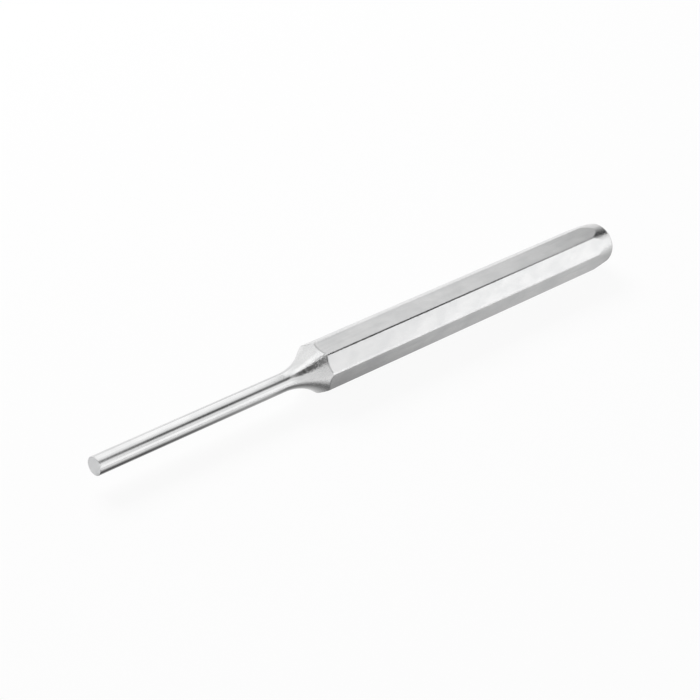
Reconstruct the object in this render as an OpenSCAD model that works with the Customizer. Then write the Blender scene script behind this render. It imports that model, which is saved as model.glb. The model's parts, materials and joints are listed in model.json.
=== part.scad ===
// Pin punch: one steel tool, turned at both ends from an octagonal bar.
// A round parallel pin runs through a concave shoulder into the octagonal shank. The far end
// of the shank is turned to a taper with a rounded rim and a crowned striking face.
// The tool lies along X on one flat of the shank, with the pin towards -X. The origin is
// under the middle of its length. Sizes are in millimetres and angles in degrees.

/* [Tool] */
// Length of the whole tool, from the tip face to the top of the crown
tool_length = 150; // [130:1:200]

/* [Pin] */
// Diameter of the parallel pin
pin_diameter = 3.9; // [2:0.1:6]
// Length of the pin, from the tip face to the start of the shoulder
pin_length = 47.5; // [30:0.5:70]
// Width of the edge break round the tip face
tip_chamfer = 0.1; // [0.05:0.05:0.6]

/* [Shoulder] */
// Radius of the concave curve from the pin out to the shank
shoulder_radius = 14; // [9:0.1:25]

/* [Shank] */
// Distance between opposite flats of the octagonal shank
across_flats = 10.2; // [8:0.1:14]
// Radius along the long edges between the flats
edge_radius = 0.7; // [0.2:0.05:1]

/* [Head] */
// Length of the turned head, from the end of the long edges to the top of the crown
head_length = 7.6; // [6:0.1:14]
// Angle between the head's taper and the axis
head_angle = 7; // [4:0.5:12]
// Radius that rounds the rim, between the taper and the crown
rim_radius = 1.5; // [0.5:0.1:2]
// Radius of the crowned striking face
crown_radius = 9; // [8:0.5:40]

/* [Hidden] */
// Smoothness of the curves
$fn = 128;

// The octagonal bar
flat_count = 8;
half_turn = 180 / flat_count;
edge_facets = 48;
flat_radius = across_flats / 2;
edge_centre = (flat_radius - edge_radius) / cos(half_turn);
bar_radius = edge_centre + edge_radius;

// The turned outline, measured as [distance from the axis, distance from the tip face]
pin_radius = pin_diameter / 2;
blank_margin = 1;
blank_radius = bar_radius + blank_margin;
taper_start = tool_length - head_length;
blank_end = taper_start - blank_margin / tan(head_angle);

// The rim's round touches the taper and the crown from inside, so its centre lies at
// crown_radius - rim_radius from the crown's centre and at rim_radius from the taper.
crown_centre = tool_length - crown_radius;
rim_reach = crown_radius - rim_radius;
taper_offset = bar_radius * cos(head_angle) + (taper_start - crown_centre) * sin(head_angle) - rim_radius;
rim_angle = asin(taper_offset / rim_reach) - head_angle;
rim_centre = [rim_reach * sin(rim_angle), crown_centre + rim_reach * cos(rim_angle)];
taper_end = rim_centre + rim_radius * [cos(head_angle), sin(head_angle)];
crown_edge = rim_centre + rim_radius * [sin(rim_angle), cos(rim_angle)];
// Overlap that lets the rim's round cross the taper and the crown cleanly, where it would only touch
weld = 0.001;

// Section of the bar: an octagon with rounded corners and two level flats
module bar_section() {
    offset(r = edge_radius, $fn = edge_facets)
        rotate(half_turn)
            circle(r = edge_centre, $fn = flat_count);
}

// Half section that the ends are turned to. Between them it is clear of the bar.
module turned_section() {
    difference() {
        union() {
            polygon([
                [0, 0],
                [pin_radius - tip_chamfer, 0],
                [pin_radius, tip_chamfer],
                [pin_radius, pin_length],
                [blank_radius, pin_length],
                [blank_radius, blank_end],
                taper_end,
                rim_centre,
                crown_edge,
                [0, crown_edge[1]]
            ]);
            translate(rim_centre)
                circle(r = rim_radius + weld);
            intersection() {
                translate([0, crown_centre])
                    circle(r = crown_radius);
                translate([0, crown_edge[1]])
                    square([crown_edge[0], tool_length - crown_edge[1] + blank_margin]);
            }
        }
        translate([pin_radius + shoulder_radius, pin_length])
            circle(r = shoulder_radius);
    }
}

// The whole tool: what the turned outline leaves of the bar
module punch() {
    color([0.78, 0.79, 0.8])
        translate([-tool_length / 2, 0, flat_radius])
            rotate([0, 90, 0])
                intersection() {
                    linear_extrude(tool_length + blank_margin)
                        bar_section();
                    rotate_extrude()
                        turned_section();
                }
}

punch();
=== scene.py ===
"""Pin punch in satin chrome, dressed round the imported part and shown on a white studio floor."""

import json
import math
from collections import namedtuple

import bpy
import numpy as np
from mathutils import Matrix, Vector


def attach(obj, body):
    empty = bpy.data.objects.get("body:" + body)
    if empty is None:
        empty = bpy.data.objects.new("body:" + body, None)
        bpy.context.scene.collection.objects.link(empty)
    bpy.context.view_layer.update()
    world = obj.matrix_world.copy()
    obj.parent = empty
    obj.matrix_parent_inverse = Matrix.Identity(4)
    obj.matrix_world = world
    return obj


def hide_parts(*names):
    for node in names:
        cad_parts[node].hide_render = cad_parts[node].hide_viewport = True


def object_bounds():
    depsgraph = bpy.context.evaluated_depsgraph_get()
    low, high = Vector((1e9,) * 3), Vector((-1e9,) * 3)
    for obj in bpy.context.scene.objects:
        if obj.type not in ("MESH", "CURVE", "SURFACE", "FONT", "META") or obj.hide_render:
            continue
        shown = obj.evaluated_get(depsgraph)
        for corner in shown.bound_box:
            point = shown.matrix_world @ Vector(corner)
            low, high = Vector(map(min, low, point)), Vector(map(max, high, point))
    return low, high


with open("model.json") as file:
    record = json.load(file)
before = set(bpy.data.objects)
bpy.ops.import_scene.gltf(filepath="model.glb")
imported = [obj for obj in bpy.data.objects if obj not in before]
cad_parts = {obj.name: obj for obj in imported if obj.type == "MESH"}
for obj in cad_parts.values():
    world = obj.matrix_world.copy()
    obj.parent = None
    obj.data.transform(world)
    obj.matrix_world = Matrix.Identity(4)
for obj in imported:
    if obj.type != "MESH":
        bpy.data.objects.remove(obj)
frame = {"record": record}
cad_low, cad_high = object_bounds()

# Lengths are in metres, as in the frame, unless a comment says mm
MM = 0.001

# Sizes that the frame gives
tool_length = cad_high.x - cad_low.x
flat_radius = (cad_high.z - cad_low.z) / 2
axis_height = cad_low.z + flat_radius
drive_pin = next(mount for mount in frame["record"]["mounts"] if mount["name"] == "drive_pin")
pin_radius = drive_pin["dims"]["r_mm"] * MM
parallel_length = drive_pin["dims"]["length_mm"] * MM
pin_length = drive_pin["pos_m"][0] - cad_low.x + parallel_length / 2
tip_chamfer = pin_length - parallel_length

# Sizes that the part's solid has and the frame does not name
FLAT_COUNT = 8
SHOULDER_RADIUS = 14 * MM
EDGE_RADIUS = 0.7 * MM
HEAD_LENGTH = 7.6 * MM
HEAD_ANGLE = math.radians(7)
RIM_RADIUS = 1.5 * MM
CROWN_RADIUS = 9 * MM

# Finishing touches on the solid's sharp edges
TIP_ROUND = 0.05 * MM
SHOULDER_BLEND = 0.12 * MM
HEAD_BLEND = 0.02 * MM

# How finely the surface is divided: round the section, across a run-out in widths of its blend, and along
ARC_POINTS = 7
FLAT_SHARES = (-0.92, -0.7, -0.36, 0, 0.36, 0.7, 0.92)
CREASE_STEPS = np.linspace(-1.5, 1.5, 13)
TIP_FACE_ROWS = 6
TIP_ROUND_ROWS = 5
PIN_ROWS = 24
SHOULDER_ROWS = 24
SHANK_ROWS = 40
TAPER_ROWS = 8
RIM_ROWS = 12
CROWN_ROWS = 14

# The finish's patterns of noise, in features per mm along X, Y and Z
Pattern = namedtuple("Pattern", "per_mm detail")
GRAIN = Pattern(per_mm=(0.12, 7, 7), detail=4)
STREAKS = Pattern(per_mm=(0.03, 1.6, 1.6), detail=3)
CLOUDS = Pattern(per_mm=(0.16, 0.3, 0.3), detail=3)
SPECKLE = Pattern(per_mm=(3.5, 3.5, 3.5), detail=2)
BLAST = Pattern(per_mm=(1.9, 1.9, 1.9), detail=3)
WEAR = Pattern(per_mm=(1.8, 2.5, 2.5), detail=3)
FINE_RINGS = Pattern(per_mm=(9, 1, 1), detail=2)
COARSE_RINGS = Pattern(per_mm=(2.4, 1, 1), detail=3)

# Depths of the finish's marks, in mm
MARK_DEPTH = 0.0004
COARSE_RING_DEPTH = 0.002
PIN_SPECKLE_DEPTH = 0.008
SHOULDER_SPECKLE_DEPTH = 0.035
CLOUD_DEPTH = 0.0016
WEAR_DEPTH = -0.006

# Where the finish and the painted crease shade change, in mm
# Length over which the shoulder's look grows at its start, and over which its blasting fades past its end
SHOULDER_FADE = 6
# Distances from the tip at which the bare steel ends, and between which the rim's wear fades
TIP_FACE_DEPTH = 0.04
TIP_WEAR = (0.05, 0.4)
# Distances from the top of the head between which the striking end's wear grows
HEAD_WEAR = (2.5, 1.5)
# Distance below the start of a long edge over which its wear grows
EDGE_WEAR = 0.05
# Distances from the curve where the shoulder cuts a flat between which the painted crease shade fades
CREASE_SHADE_LINE = (0.05, 0.4)

# Stretches of the noise over which a look comes in, and the shares up to which it comes in
WEAR_SPOTS = (0.5, 0.64)
BLAST_PATCHES = (0.48, 0.6)
CLOUD_TONES = (0.38, 0.62)
STREAK_TONES = (0.35, 0.65)
ROUGH_TONES = (0.3, 0.7)
CLOUD_SHARE = 0.7
STREAK_SHARE = 0.3
# Painted shade: the share up to which the dark line beside the shoulder's crease comes in
CREASE_SHADE_SHARE = 0.85
HEAD_BLAST_SHARE = 0.3

# Roughness and colours of the finish, and the colour of the painted crease shade
TURNED_ROUGH = (0.1, 0.15)
GROUND_ROUGH = (0.2, 0.27)
BLAST_ROUGH = 0.29
WORN_ROUGH = 0.18
TIP_ROUGH = 0.3
PLATE_DARK = (0.86, 0.864, 0.868, 1)
PLATE_LIGHT = (0.965, 0.965, 0.965, 1)
PLATE_WORN = (0.87, 0.87, 0.87, 1)
# Painted shade: the dark colour of the line beside the curve where the shoulder cuts a flat
PAINTED_CREASE_SHADE = (0.38, 0.385, 0.39, 1)
TIP_STEEL = (0.71, 0.715, 0.72, 1)

# The photograph's camera, fitted to the tool's outline: angles, distance, the point it looks at, lens in mm
CAMERA_AZIMUTH = math.radians(-53.73)
CAMERA_ELEVATION = math.radians(37.435)
CAMERA_ROLL = math.radians(15.732)
CAMERA_DISTANCE = 395.3 * MM
CAMERA_AIM = Vector((-14.41, -4.51, 11.72)) * MM
CAMERA_LENS = 101.43

# The studio's floor, with the shares of it that look plain white, its tent as a light, and its lamp
WHITE = (1, 1, 1, 1)
FLOOR_SIDE = 8.0
FLOOR_GAP = 0.02 * MM
FLOOR_COLOUR = (0.8, 0.8, 0.8, 1)
FLOOR_WHITE_SEEN = 0.93
FLOOR_WHITE_MIRRORED = 0.36
FILL_STRENGTH = 0.3
KEY_ANGLE = math.radians(41)
KEY_DISTANCE = 0.7
KEY_WATTS = 5.2
KEY_LENGTH = 0.5
KEY_WIDTH = 0.25

# The cards that only the chrome sees, bent round the tool's axis: radius in mm, lean in degrees per mm,
# shares of the card across it by angle in degrees from +Y, and levels of light along it by X in mm.
# Where the share is 0, the card is as white as the tent. Across, a card has a point every few degrees.
CARD_STEP = 3
Card = namedtuple("Card", "name radius across along lean", defaults=(0,))
CARDS = (
    Card(
        name="back_card",
        radius=115,
        across=((30, 1), (84, 1)),
        along=(
            (60, 0.45), (75, 0.62), (95, 0.68), (150, 0.62),
            (185, 0.47), (190, 0.43), (196, 0.36), (203, 0.33),
        ),
    ),
    Card(
        name="roof_card",
        radius=115,
        across=((84, 1), (132, 1)),
        along=((64, 0), (120, 0), (150, 0.14), (165, 0.35), (180, 0.5), (200, 0.55)),
    ),
    Card(
        name="front_card",
        radius=115,
        across=((132, 1), (157, 1)),
        along=((0, 0.68), (23, 0.74), (45, 0.84), (60, 0.86), (75, 0.8), (95, 0.9), (125, 1), (203, 1)),
    ),
    Card(
        name="head_card",
        radius=115,
        across=(
            (10, 0.25), (30, 0.4), (47, 0.68), (61, 0.82), (73, 1),
            (95, 1), (103, 0.5), (110, 0.32), (135, 0),
        ),
        along=((203, 0.03), (330, 0.03)),
    ),
    Card(
        name="tent_horizon",
        radius=410,
        across=((1, 1), (15, 1)),
        along=((-700, 0.78), (138, 0.78), (207, 0.68), (800, 0.68)),
    ),
    Card(
        name="tent_back",
        radius=400,
        across=((16, 1), (64, 1)),
        along=((-700, 0.78), (85, 0.8), (138, 0.88), (207, 1)),
    ),
    Card(
        name="tent_roof",
        radius=400,
        lean=0.025,
        across=((98, 1), (139, 1)),
        along=(
            (-760, 0.45), (-480, 0.3), (-333, 0.22), (-200, 0.16),
            (-60, 0.08), (40, 0.06), (75, 0.15), (150, 0.4),
        ),
    ),
    Card(
        name="tent_front",
        radius=401,
        across=((130, 1), (180, 1)),
        along=((-700, 0.6), (-333, 0.6), (-200, 0.64), (0, 0.68), (85, 0.69), (138, 0.86), (207, 1)),
    ),
    Card(
        name="pin_gap",
        radius=600,
        across=((48, 0), (63, 0.05), (90, 0.3), (106, 0.94), (118, 0.94), (132, 0.33), (153, 0)),
        along=(
            (200, 0.5), (270, 0.5), (318, 0), (384, 0),
            (398, 0.03), (412, 0.08), (425, 0.14), (1400, 0.14),
        ),
    ),
)

# The strips on the floor round the tool, which only the chrome sees too: levels of light along X, and shares
# of the strip by the distance out to the front, both in mm. A distance below 0 lies behind. The distance
# counts from the outline of the pin and the shoulder, or else from the axis. Where the share is 0, the strip
# is as light as the floor beside it, and over 1 it goes past its level.
SHADE_HEIGHT = 0.05 * MM
SHADE_BESIDE = 0.87
Shade = namedtuple("Shade", "name from_outline along across")
SHADES = (
    Shade(
        name="pin_shade",
        from_outline=True,
        along=((-95, 0.87), (-82, 0.05), (-63, 0.06), (-48, 0.11), (-34, 0.25)),
        across=(
            (33, 0.05), (22, 0.15), (14, 0.3), (10, 0.48), (7, 0.7), (5, 0.87),
            (3, 1), (1.5, 0.95), (0, 0.74), (-3, 0.3), (-4, 0),
        ),
    ),
    Shade(
        name="shoulder_shade",
        from_outline=True,
        along=((-34, 0.25), (-27, 0.29), (-23, 0.19), (-21, 0.15), (-17, 0.16)),
        across=(
            (33, 0.38), (20, 0.26), (14, 0.3), (12, 0.38), (8.5, 0.56), (6, 0.8),
            (4.2, 1), (2, 1), (0.9, 0.86), (-2, 0.5), (-4, 0),
        ),
    ),
    Shade(
        name="far_shade",
        from_outline=True,
        along=((-150, 0.87), (-60, 0.62), (-17, 0.62), (0, 0.87)),
        across=((300, 0.8), (33, 1)),
    ),
    Shade(
        name="shank_shade",
        from_outline=False,
        along=((-17, 0.28), (-10, 0.29), (0, 0.33), (20, 0.43), (70, 0.5), (74, 0.47), (80, 0.42)),
        across=((15, 0), (12.5, 0.8), (10.5, 1), (6, 1), (4, 1.15), (1, 1.1), (-2, 0.5), (-4, 0)),
    ),
    Shade(
        name="head_shade",
        from_outline=False,
        along=((80, 0.42), (86, 0.48), (95, 0.55), (125, 0.6), (160, 0.87)),
        across=((80, 0), (35, 0.75), (23, 0.85), (17, 0.95), (10.5, 1), (1, 1), (-2, 0.5), (-4, 0)),
    ),
    Shade(
        name="back_shade",
        from_outline=False,
        along=((-700, 0.5), (300, 0.5)),
        across=((-6, 0.4), (-8, 0.2), (-14, 0.04), (-25, 0.1), (-60, 0.25), (-400, 0.25), (-600, 0)),
    ),
    Shade(
        name="front_glow",
        from_outline=False,
        along=((0, 0.87), (15, 1), (50, 1), (80, 0.97)),
        across=((160, 0.5), (110, 1), (60, 1), (40, 0.3), (34, 0)),
    ),
)

# The walls beyond both ends of the studio: places along X, levels of light by Y and shares of them by
# height, in mm
WALL_PLACES = (-720, 820)
WALL_SIDES = ((-700, 1), (-300, 0.97), (-60, 0.8), (60, 0.62), (700, 0.5))
WALL_HEIGHTS = ((1, 0.95), (250, 1), (700, 1))


def direction(angle):
    """Unit direction in the YZ plane, from +Y towards +Z."""
    return np.array([math.cos(angle), math.sin(angle)])


def steps_between(start, end, count):
    """The places that divide the way from start to end into equal steps, leaving out its ends."""
    return [start + step / count * (end - start) for step in range(1, count)]


class Section:
    """The octagonal bar's section, as columns that go round it.

    A column has a radius, its direction outward, a normal that reaches 1 along that direction, and ground,
    which is 1 on a flat and 0 on a long edge. The long edges are round, from edge_start out to reach.
    """

    def __init__(self):
        half_turn = math.pi / FLAT_COUNT
        inner = flat_radius - EDGE_RADIUS
        edge_centre = inner / math.cos(half_turn)
        half_width = inner * math.tan(half_turn)
        places, normals, ground = [], [], []
        for corner in range(FLAT_COUNT):
            middle = (2 * corner + 1) * half_turn
            for share in np.linspace(-1, 1, ARC_POINTS):
                normal = direction(middle + share * half_turn)
                places.append(edge_centre * direction(middle) + EDGE_RADIUS * normal)
                normals.append(normal)
                ground.append(0)
            normal = direction(middle + half_turn)
            sideways = direction(middle + half_turn + math.pi / 2)
            for share in FLAT_SHARES:
                places.append(flat_radius * normal + share * half_width * sideways)
                normals.append(normal)
                ground.append(1)
        places = np.array(places)
        normals = np.array(normals)
        self.radius = np.linalg.norm(places, axis=1)
        self.outward = places / self.radius[:, None]
        self.normal = normals / np.sum(normals * self.outward, axis=1)[:, None]
        self.ground = np.array(ground, dtype=float)
        self.edge_start = math.hypot(flat_radius, half_width)
        self.reach = edge_centre + EDGE_RADIUS


section = Section()

# A ring of the punch's surface, with one vertex for each column of the section
Row = namedtuple("Row", "places normals ground")


def turned_row(along, radius, tilt):
    """A round row. Tilt is its normal's angle from square to the axis, positive towards the head."""
    count = len(section.radius)
    return Row(
        places=np.column_stack([np.full(count, along), radius * section.outward]),
        normals=np.column_stack([np.full(count, math.sin(tilt)), math.cos(tilt) * section.outward]),
        ground=np.zeros(count),
    )


def cut_row(along, turned, slope, blend):
    """A row where turning cuts the bar: the lower of both surfaces, with the edge between rounded."""
    share = np.clip(0.5 + (section.radius - turned) / (2 * blend), 0, 1)
    radius = share * turned + (1 - share) * section.radius - blend * share * (1 - share)
    across = share[:, None] * section.outward + (1 - share)[:, None] * section.normal
    normals = np.column_stack([-share * slope, across])
    return Row(
        places=np.column_stack([along, radius[:, None] * section.outward]),
        normals=normals / np.linalg.norm(normals, axis=1)[:, None],
        ground=(1 - share) * section.ground,
    )


def arc_rows(along, radius, arc_radius, tilts):
    """Round rows along an arc whose centre is at the given place along and out from the axis."""
    return [
        turned_row(along + arc_radius * math.sin(tilt), radius + arc_radius * math.cos(tilt), tilt)
        for tilt in tilts
    ]


def tip_rows():
    """The flat tip face, its chamfer with both edges rounded, and the parallel pin."""
    facing, sloping = -math.pi / 2, -math.pi / 4
    inset = TIP_ROUND * math.tan((sloping - facing) / 2)
    face_radius = pin_radius - tip_chamfer - inset
    pin_start = tip_chamfer + inset
    rows = [turned_row(0, radius, facing) for radius in steps_between(0, face_radius, TIP_FACE_ROWS)]
    rows += arc_rows(TIP_ROUND, face_radius, TIP_ROUND, np.linspace(facing, sloping, TIP_ROUND_ROWS))
    rows += arc_rows(pin_start, pin_radius - TIP_ROUND, TIP_ROUND, np.linspace(sloping, 0, TIP_ROUND_ROWS))
    rows += [turned_row(along, pin_radius, 0) for along in np.linspace(pin_start, pin_length, PIN_ROWS)[1:]]
    return rows


def shoulder_row(along):
    """A row of the concave shoulder, at a place along the axis for each column."""
    run = along - pin_length
    drop = np.sqrt(SHOULDER_RADIUS ** 2 - run ** 2)
    return cut_row(along, pin_radius + SHOULDER_RADIUS - drop, run / drop, SHOULDER_BLEND)


def head_row(along):
    """A row of the head's taper, at a place along the axis for each column."""
    slope = -math.tan(HEAD_ANGLE)
    turned = section.reach + slope * (along - tool_length + HEAD_LENGTH)
    return cut_row(along, turned, slope, HEAD_BLEND)


def shank_rows():
    """The shoulder, the bar and the start of the taper, with rows that follow both run-outs.

    Gives the rows, and the places along the axis where the last of them lies.
    """
    rise = section.radius - pin_radius
    run = np.sqrt(SHOULDER_RADIUS ** 2 - (SHOULDER_RADIUS - rise) ** 2)
    shoulder_width = SHOULDER_BLEND * (SHOULDER_RADIUS - rise) / run
    shoulder_crease = [pin_length + run + step * shoulder_width for step in CREASE_STEPS]
    head_start = tool_length - HEAD_LENGTH + (section.reach - section.radius) / math.tan(HEAD_ANGLE)
    head_width = HEAD_BLEND / math.tan(HEAD_ANGLE)
    head_crease = [head_start + step * head_width for step in CREASE_STEPS]
    # A turned radius that is large enough to leave the bar as it is
    clear_of_bar = 2 * section.radius

    rows = [shoulder_row(along) for along in steps_between(pin_length, shoulder_crease[0], SHOULDER_ROWS)]
    rows += [shoulder_row(along) for along in shoulder_crease]
    rows += [
        cut_row(along, clear_of_bar, 0, HEAD_BLEND)
        for along in steps_between(shoulder_crease[-1], head_crease[0], SHANK_ROWS)
    ]
    rows += [head_row(along) for along in head_crease]
    return rows, head_crease[-1]


def head_rows(taper_from):
    """The rest of the taper, the rounded rim and the crown, up to just short of its top."""
    crown_centre = tool_length - CROWN_RADIUS
    reach = CROWN_RADIUS - RIM_RADIUS
    taper_run = tool_length - HEAD_LENGTH - crown_centre
    offset = section.reach * math.cos(HEAD_ANGLE) + taper_run * math.sin(HEAD_ANGLE) - RIM_RADIUS
    rim_angle = math.asin(offset / reach) - HEAD_ANGLE
    rim_along = crown_centre + reach * math.cos(rim_angle)
    rim_out = reach * math.sin(rim_angle)
    crown_tilt = math.pi / 2 - rim_angle
    taper_end = rim_along + RIM_RADIUS * math.sin(HEAD_ANGLE)
    rows = [head_row(along) for along in steps_between(taper_from, taper_end, TAPER_ROWS)]
    rows += arc_rows(rim_along, rim_out, RIM_RADIUS, np.linspace(HEAD_ANGLE, crown_tilt, RIM_ROWS))
    crown_tilts = np.linspace(crown_tilt, math.pi / 2, CROWN_ROWS)[1:-1]
    rows += arc_rows(crown_centre, 0, CROWN_RADIUS, crown_tilts)
    return rows


def punch_faces(row_count, column_count):
    """Quads between neighbouring rows, and a fan at each end round the last two vertices."""
    faces = []
    tip = row_count * column_count
    top = tip + 1
    last = (row_count - 1) * column_count
    for column in range(column_count):
        beside = (column + 1) % column_count
        faces.append((tip, beside, column))
        for row in range(row_count - 1):
            here, above = row * column_count, (row + 1) * column_count
            faces.append((here + column, here + beside, above + beside, above + column))
        faces.append((top, last + column, last + beside))
    return faces


def make_punch():
    """The punch as one closed mesh with exact normals, lying along X on one of its flats."""
    shank, taper_from = shank_rows()
    rows = tip_rows() + shank + head_rows(taper_from)
    faces = punch_faces(len(rows), len(section.radius))
    rows.append(Row(
        places=[(0, 0, 0), (tool_length, 0, 0)],
        normals=[(-1, 0, 0), (1, 0, 0)],
        ground=(0, 0),
    ))
    places = np.vstack([row.places for row in rows]) + (cad_low.x, 0, axis_height)
    normals = np.vstack([row.normals for row in rows])
    ground = np.concatenate([row.ground for row in rows])
    mesh = bpy.data.meshes.new("punch_body")
    mesh.from_pydata(places.tolist(), [], faces)
    mesh.shade_smooth()
    mesh.normals_split_custom_set_from_vertices(normals.tolist())
    mesh.attributes.new("ground", "FLOAT", "POINT").data.foreach_set("value", ground)
    piece = bpy.data.objects.new("punch_body", mesh)
    bpy.context.collection.objects.link(piece)
    return piece


class NodeBuilder:
    """Adds nodes to one tree. An input is a number, a colour or another node's output."""

    def __init__(self, tree):
        self.tree = tree
        tree.nodes.clear()

    def add(self, kind, inputs, **settings):
        """A node of any kind, with its settings made and its inputs set or linked."""
        node = self.tree.nodes.new("ShaderNode" + kind)
        for name, value in settings.items():
            setattr(node, name, value)
        for key, value in inputs.items():
            if isinstance(value, bpy.types.NodeSocket):
                self.tree.links.new(value, node.inputs[key])
            else:
                node.inputs[key].default_value = value
        return node

    def calc(self, operation, first, second=0.0, third=0.0):
        """A number worked out from up to three others."""
        return self.add("Math", {0: first, 1: second, 2: third}, operation=operation).outputs[0]

    def mix(self, share, first, second):
        """A number between two others, by the share of the second."""
        node = self.add("Mix", {"Factor": share, "A": first, "B": second}, data_type="FLOAT")
        return node.outputs[0]

    def mix_colour(self, share, first, second):
        """A colour between two others, by the share of the second. Its sockets go by their places."""
        return self.add("Mix", {0: share, 6: first, 7: second}, data_type="RGBA").outputs[2]

    def ramp(self, value, span, start=0.0, end=1.0):
        """A number that goes from start to end as the value crosses the span, and holds beyond it."""
        low, high = span
        inputs = {"Value": value, "From Min": low, "From Max": high, "To Min": start, "To Max": end}
        return self.add("MapRange", inputs).outputs[0]

    def noise(self, place, pattern):
        """A pattern's noise between 0 and 1, at a place in mm."""
        scaled = self.add("Mapping", {"Vector": place, "Scale": pattern.per_mm}).outputs[0]
        inputs = {"Vector": scaled, "Scale": 1.0, "Detail": pattern.detail}
        return self.add("TexNoise", inputs).outputs["Fac"]

    def relief(self, place, pattern):
        """A pattern's noise above and below 0."""
        return self.calc("SUBTRACT", self.noise(place, pattern), 0.5)


def new_material(name):
    """A material without nodes, and the builder for them."""
    material = bpy.data.materials.new(name)
    material.use_nodes = True
    return material, NodeBuilder(material.node_tree)


class ChromeSpot:
    """What is known of a point of the chrome.

    Place is in mm from the middle of the tip face. Along and out are its distances along the axis and out
    from it. Ground is 1 on a flat. Shoulder is 0 on the pin, grows over the start of the shoulder and is 1
    from there to the head. Tip_face is 1 on the tip. Clouds and streaks are noise.
    """

    def __init__(self, build):
        self.place = build.add("Mapping", {
            "Vector": build.add("TexCoord", {}).outputs["Object"],
            "Location": (-cad_low.x / MM, 0, -axis_height / MM),
            "Scale": (1 / MM,) * 3,
        }).outputs[0]
        parts = build.add("SeparateXYZ", {"Vector": self.place})
        square_y = build.calc("POWER", parts.outputs["Y"], 2.0)
        square_z = build.calc("POWER", parts.outputs["Z"], 2.0)
        self.along = parts.outputs["X"]
        self.out = build.calc("SQRT", build.calc("ADD", square_y, square_z))
        self.ground = build.add("Attribute", {}, attribute_name="ground").outputs["Fac"]
        self.shoulder = build.ramp(self.along, (pin_length / MM, pin_length / MM + SHOULDER_FADE))
        self.tip_face = build.ramp(self.along, (0.0, TIP_FACE_DEPTH), start=1.0, end=0.0)
        self.clouds = build.noise(self.place, CLOUDS)
        self.streaks = build.noise(self.place, STREAKS)


def chrome_wear(build, spot):
    """1 in the rubbed spots along the long edges, round the tip and on the striking end."""
    edge_start = section.edge_start / MM
    length = tool_length / MM
    long_edges = build.ramp(spot.out, (edge_start - EDGE_WEAR, edge_start))
    tip_rim = build.ramp(spot.along, TIP_WEAR, start=1.0, end=0.0)
    striking_end = build.ramp(spot.along, [length - depth for depth in HEAD_WEAR])
    worn = build.calc("MAXIMUM", build.calc("MAXIMUM", long_edges, tip_rim), striking_end)
    rubbed = build.ramp(build.noise(spot.place, WEAR), WEAR_SPOTS)
    return build.calc("MULTIPLY", worn, rubbed)


def painted_crease_shade(build, spot):
    """Painted crease shade: above 0 on the flats, in a dark line beside the curve where the shoulder ends.
    """
    rise = build.calc("SUBTRACT", spot.out, pin_radius / MM)
    run = build.calc("MULTIPLY", rise, build.calc("SUBTRACT", 2 * SHOULDER_RADIUS / MM, rise))
    run = build.calc("SQRT", run)
    beyond = build.calc("SUBTRACT", build.calc("SUBTRACT", spot.along, pin_length / MM), run)
    line = build.ramp(beyond, CREASE_SHADE_LINE, start=CREASE_SHADE_SHARE, end=0.0)
    return build.calc("MULTIPLY", line, spot.ground)


def chrome_blast(build, spot):
    """1 in the rougher patches that blasting left on the shoulder, and less from there to the head."""
    past_shoulder = (pin_length + SHOULDER_RADIUS) / MM
    fade = (past_shoulder, past_shoulder + SHOULDER_FADE)
    strength = build.ramp(spot.along, fade, start=1.0, end=HEAD_BLAST_SHARE)
    patches = build.ramp(build.noise(spot.place, BLAST), BLAST_PATCHES)
    return build.calc("MULTIPLY", build.calc("MULTIPLY", spot.shoulder, strength), patches)


def chrome_marks(build, spot):
    """Height of the marks in mm: grinding along the flats, and turning and blasting on all that is round."""
    grain = build.relief(spot.place, GRAIN)
    ring_place = build.add("CombineXYZ", {"X": build.calc("ADD", spot.along, spot.out)}).outputs[0]
    fine_rings = build.relief(ring_place, FINE_RINGS)
    coarse_rings = build.calc("MULTIPLY", build.relief(ring_place, COARSE_RINGS), spot.shoulder)
    speckle = build.relief(spot.place, SPECKLE)
    speckle_depth = build.mix(spot.shoulder, PIN_SPECKLE_DEPTH, SHOULDER_SPECKLE_DEPTH)
    turned = build.calc("MULTIPLY", fine_rings, MARK_DEPTH)
    turned = build.calc("MULTIPLY_ADD", coarse_rings, COARSE_RING_DEPTH, turned)
    turned = build.calc("MULTIPLY_ADD", speckle, speckle_depth, turned)
    return build.mix(spot.ground, turned, build.calc("MULTIPLY", grain, MARK_DEPTH))


def chrome_normal(build, spot, wear):
    """The surface's direction, bent by the marks, by soft waves and by the rubbed spots."""
    height = chrome_marks(build, spot)
    height = build.calc("MULTIPLY_ADD", spot.clouds, CLOUD_DEPTH, height)
    height = build.calc("MULTIPLY_ADD", wear, WEAR_DEPTH, height)
    return build.add("Bump", {"Strength": 1.0, "Distance": MM, "Height": height}).outputs[0]


def chrome_colour(build, spot, wear):
    """Plating that varies a little, duller where rubbed, with painted shade beside the shoulder's crease,
    and bare steel on the tip.
    """
    mottle = build.ramp(spot.clouds, CLOUD_TONES, end=CLOUD_SHARE)
    shade = build.calc("ADD", mottle, build.ramp(spot.streaks, STREAK_TONES, end=STREAK_SHARE))
    plate = build.mix_colour(shade, PLATE_DARK, PLATE_LIGHT)
    plate = build.mix_colour(wear, plate, PLATE_WORN)
    # Painted shade in a dark line beside the shoulder's crease
    plate = build.mix_colour(painted_crease_shade(build, spot), plate, PAINTED_CREASE_SHADE)
    return build.mix_colour(spot.tip_face, plate, TIP_STEEL)


def chrome_roughness(build, spot, wear):
    """Smoother where turned than where ground, and rougher where blasted and on the tip."""
    turned = build.ramp(spot.clouds, ROUGH_TONES, *TURNED_ROUGH)
    turned = build.mix(chrome_blast(build, spot), turned, BLAST_ROUGH)
    ground = build.ramp(spot.streaks, ROUGH_TONES, *GROUND_ROUGH)
    rough = build.mix(spot.ground, turned, ground)
    rough = build.mix(wear, rough, WORN_ROUGH)
    return build.mix(spot.tip_face, rough, TIP_ROUGH)


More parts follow.
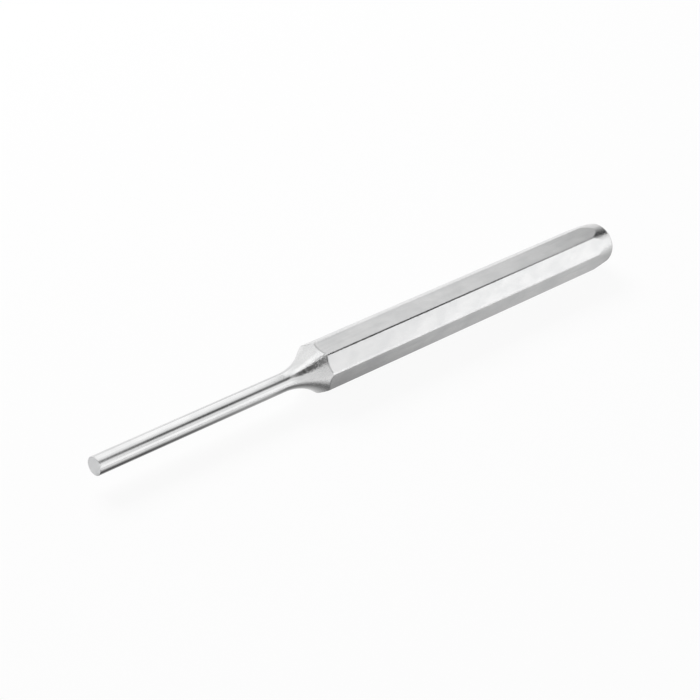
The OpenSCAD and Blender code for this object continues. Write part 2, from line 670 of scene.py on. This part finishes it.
def satin_chrome():
    """Chrome over steel that was ground lengthwise on the flats and turned on everything round."""
    material, build = new_material("satin_chrome_plate")
    spot = ChromeSpot(build)
    wear = chrome_wear(build, spot)
    metal = build.add("BsdfPrincipled", {
        "Base Color": chrome_colour(build, spot, wear),
        "Metallic": 1.0,
        "Roughness": chrome_roughness(build, spot, wear),
        "Normal": chrome_normal(build, spot, wear),
    })
    build.add("OutputMaterial", {"Surface": metal.outputs[0]})
    return material


def seen_directly(build):
    """1 for rays from the camera, from a gloss or through glass, and 0 for those that only light."""
    path = build.add("LightPath", {})
    seen = build.calc("ADD", path.outputs["Is Camera Ray"], path.outputs["Is Glossy Ray"])
    return build.calc("ADD", seen, path.outputs["Is Transmission Ray"])


def make_world():
    """A white studio tent, dimmer as a light than it looks."""
    world = bpy.data.worlds.new("studio")
    world.use_nodes = True
    bpy.context.scene.world = world
    build = NodeBuilder(world.node_tree)
    strength = build.mix(seen_directly(build), FILL_STRENGTH, 1.0)
    tent = build.add("Background", {"Color": WHITE, "Strength": strength})
    build.add("OutputWorld", {"Surface": tent.outputs[0]})


def make_mesh(name, rows):
    """A stage piece from rows of points, joined by quads."""
    across = len(rows[0])
    points = [point for row in rows for point in row]
    faces = []
    for row in range(len(rows) - 1):
        for column in range(across - 1):
            first = row * across + column
            faces.append((first, first + 1, first + across + 1, first + across))
    mesh = bpy.data.meshes.new(name)
    mesh.from_pydata(points, [], faces)
    piece = bpy.data.objects.new(name, mesh)
    bpy.context.collection.objects.link(piece)
    return piece


def pale_floor():
    """Pale paint, mixed with plain white where it is seen or mirrored."""
    material, build = new_material("pale_floor")
    path = build.add("LightPath", {})
    direct = build.calc("ADD", path.outputs["Is Camera Ray"], path.outputs["Is Transmission Ray"])
    direct = build.calc("MULTIPLY", direct, FLOOR_WHITE_SEEN)
    mirrored = build.calc("MULTIPLY", path.outputs["Is Glossy Ray"], FLOOR_WHITE_MIRRORED)
    paint = build.add("BsdfDiffuse", {"Color": FLOOR_COLOUR})
    white = build.add("Emission", {"Color": WHITE, "Strength": 1.0})
    share = build.calc("ADD", direct, mirrored)
    mixed = build.add("MixShader", {0: share, 1: paint.outputs[0], 2: white.outputs[0]})
    build.add("OutputMaterial", {"Surface": mixed.outputs[0]})
    return material


def make_floor():
    """A floor just under the tool, which keeps its shadow."""
    half = FLOOR_SIDE / 2
    height = cad_low.z - FLOOR_GAP
    floor = make_mesh("floor", [[(x, y, height) for x in (-half, half)] for y in (-half, half)])
    floor.data.materials.append(pale_floor())


def card_glow():
    """The cards' light: its strength is the level at each point of the card."""
    material, build = new_material("card_glow")
    level = build.add("Attribute", {}, attribute_name="level").outputs["Fac"]
    glow = build.add("Emission", {"Color": WHITE, "Strength": level})
    build.add("OutputMaterial", {"Surface": glow.outputs[0]})
    return material


def make_card(name, rows, levels, material):
    """A studio card that only the chrome sees, with a level of light at each point."""
    card = make_mesh(name, rows)
    card.visible_camera = False
    card.visible_diffuse = False
    card.visible_shadow = False
    values = [level for row in levels for level in row]
    card.data.attributes.new("level", "FLOAT", "POINT").data.foreach_set("value", values)
    card.data.materials.append(material)


def make_arc_card(card, material):
    """A card bent round the tool's axis, which fades to the tent's white by its shares."""
    angles, shares = zip(*card.across)
    steps = 1 + round((angles[-1] - angles[0]) / CARD_STEP)
    rows, levels = [], []
    for angle in np.linspace(angles[0], angles[-1], steps):
        share = np.interp(angle, angles, shares)
        row = []
        for x, level in card.along:
            y, z = card.radius * MM * direction(math.radians(angle + card.lean * x))
            row.append((x * MM, y, axis_height + z))
        rows.append(row)
        levels.append([1 - share * (1 - level) for x, level in card.along])
    make_card(card.name, rows, levels, material)


def outline_reach(x):
    """How far the pin and the shoulder reach out from the axis, at a place along X in mm."""
    run = min(max(x * MM - cad_low.x - pin_length, 0), SHOULDER_RADIUS)
    rise = SHOULDER_RADIUS - math.sqrt(SHOULDER_RADIUS ** 2 - run ** 2)
    return min(pin_radius + rise, flat_radius)


def make_shade(shade, material):
    """A strip on the floor, which fades into the floor beside it by its shares."""
    rows, levels = [], []
    for out, share in shade.across:
        row = []
        for x, level in shade.along:
            reach = outline_reach(x) if shade.from_outline else 0
            row.append((x * MM, -reach - out * MM, cad_low.z + SHADE_HEIGHT))
        rows.append(row)
        levels.append([SHADE_BESIDE + share * (level - SHADE_BESIDE) for x, level in shade.along])
    make_card(shade.name, rows, levels, material)


def make_wall(place, material):
    """A wall across one end of the studio, as a card."""
    rows = [[(place * MM, y * MM, z * MM) for y, level in WALL_SIDES] for z, share in WALL_HEIGHTS]
    levels = [[share * level for y, level in WALL_SIDES] for z, share in WALL_HEIGHTS]
    make_card("end_wall", rows, levels, material)


def make_key():
    """A soft key light behind the tool, which throws its shadow to the front."""
    lamp = bpy.data.lights.new("key", "AREA")
    lamp.shape = "RECTANGLE"
    lamp.size = KEY_LENGTH
    lamp.size_y = KEY_WIDTH
    lamp.energy = KEY_WATTS
    key = bpy.data.objects.new("key", lamp)
    key.location = (0, KEY_DISTANCE * math.cos(KEY_ANGLE), KEY_DISTANCE * math.sin(KEY_ANGLE))
    key.rotation_euler.x = KEY_ANGLE - math.pi / 2
    key.visible_glossy = False
    key.visible_camera = False
    bpy.context.collection.objects.link(key)


def make_camera():
    """The photograph's camera: a long lens that looks down at the tool from its tip's side."""
    back = Vector((
        math.sin(CAMERA_AZIMUTH) * math.cos(CAMERA_ELEVATION),
        -math.cos(CAMERA_AZIMUTH) * math.cos(CAMERA_ELEVATION),
        math.sin(CAMERA_ELEVATION),
    ))
    level = Vector((math.cos(CAMERA_AZIMUTH), math.sin(CAMERA_AZIMUTH), 0))
    upright = Matrix((level, back.cross(level), back)).transposed()
    turned = upright @ Matrix.Rotation(CAMERA_ROLL, 3, "Z")
    camera = bpy.data.objects.new("camera", bpy.data.cameras.new("camera"))
    camera.data.lens = CAMERA_LENS
    camera.data.clip_start = MM
    camera.matrix_world = Matrix.Translation(CAMERA_AIM + CAMERA_DISTANCE * back) @ turned.to_4x4()
    bpy.context.collection.objects.link(camera)
    bpy.context.scene.camera = camera


make_camera()
make_world()
make_floor()
make_key()
glow = card_glow()
for card in CARDS:
    make_arc_card(card, glow)
for shade in SHADES:
    make_shade(shade, glow)
for place in WALL_PLACES:
    make_wall(place, glow)

punch = make_punch()
punch.data.materials.append(satin_chrome())
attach(punch, "root")
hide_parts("punch")

bpy.context.scene.view_settings.view_transform = "Standard"
